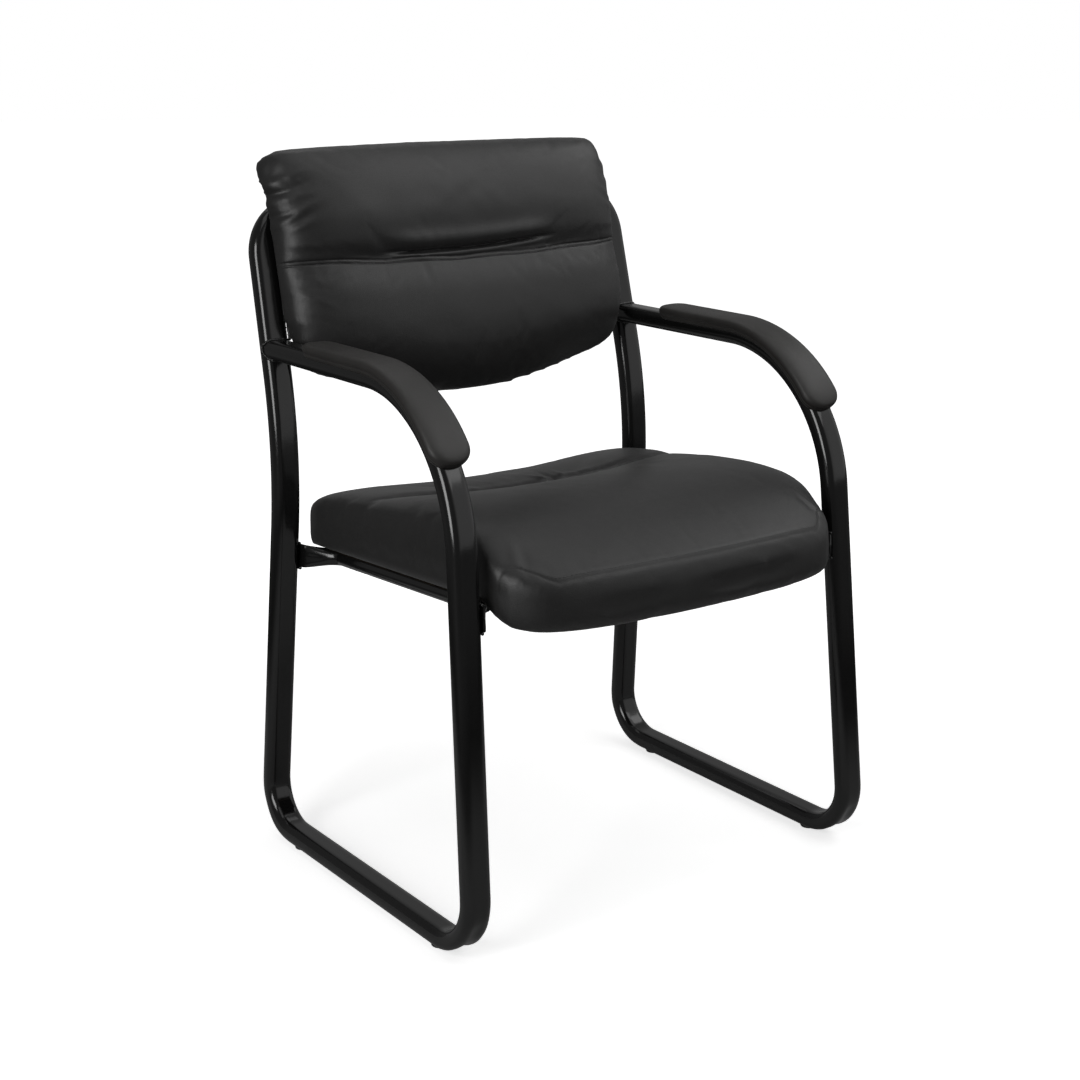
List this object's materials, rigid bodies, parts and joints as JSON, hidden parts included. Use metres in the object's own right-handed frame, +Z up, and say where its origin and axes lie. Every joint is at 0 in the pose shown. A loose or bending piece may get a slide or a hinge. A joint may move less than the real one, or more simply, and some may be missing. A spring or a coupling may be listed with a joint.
{
  "type": "sled base visitor chair",
  "caption": "Visitor chair with a black flat-oval steel sled frame, leather-covered seat and back cushions and curved padded arms.",
  "frame": {"origin": "on the floor, under the middle of the chair's bounding box", "axes": "+Z up, -Y the way a sitter faces, +X the sitter's left-hand side seen from the front as right"},
  "size_m": [0.6218, 0.58, 0.8956],
  "materials": {
    "frame_coat": "gloss black powder coat",
    "zinc_steel": "zinc plated",
    "screw_black": "black oxide, half bright",
    "plywood": "raw plywood",
    "leather": "soft black leather, satin",
    "pad_skin": "moulded soft skin, satin",
    "black_plastic": "satin",
    "dust_cloth": "non-woven cloth"
  },
  "bodies": {
    "root": {"back_board": "plywood", "back_cushion": "leather", "back_nut_lower_left": "zinc_steel", "back_nut_lower_right": "zinc_steel", "back_nut_upper_left": "zinc_steel", "back_nut_upper_right": "zinc_steel", "back_rear_cover": "black_plastic", "back_screw_lower_left": "screw_black", "back_screw_lower_right": "screw_black", "back_screw_upper_left": "screw_black", "back_screw_upper_right": "screw_black", "back_strap": "frame_coat", "front_cross_bar": "frame_coat", "front_left_glide": "black_plastic", "front_left_pad_screw": "screw_black", "front_right_glide": "black_plastic", "front_right_pad_screw": "screw_black", "hoop_splice": "frame_coat", "left_arm_pad": "pad_skin", "left_arm_pad_base": "black_plastic", "left_seat_rail": "frame_coat", "left_side_tube": "frame_coat", "rear_cross_bar": "frame_coat", "rear_left_glide": "black_plastic", "rear_left_pad_screw": "screw_black", "rear_right_glide": "black_plastic", "rear_right_pad_screw": "screw_black", "right_arm_pad": "pad_skin", "right_arm_pad_base": "black_plastic", "right_seat_rail": "frame_coat", "right_side_tube": "frame_coat", "seat_board": "plywood", "seat_cushion": "leather", "seat_dust_cover": "dust_cloth", "seat_nut_front_left": "zinc_steel", "seat_nut_front_right": "zinc_steel", "seat_nut_rear_left": "zinc_steel", "seat_nut_rear_right": "zinc_steel", "seat_screw_front_left": "screw_black", "seat_screw_front_right": "screw_black", "seat_screw_rear_left": "screw_black", "seat_screw_rear_right": "screw_black"}
  },
  "joints": []
}
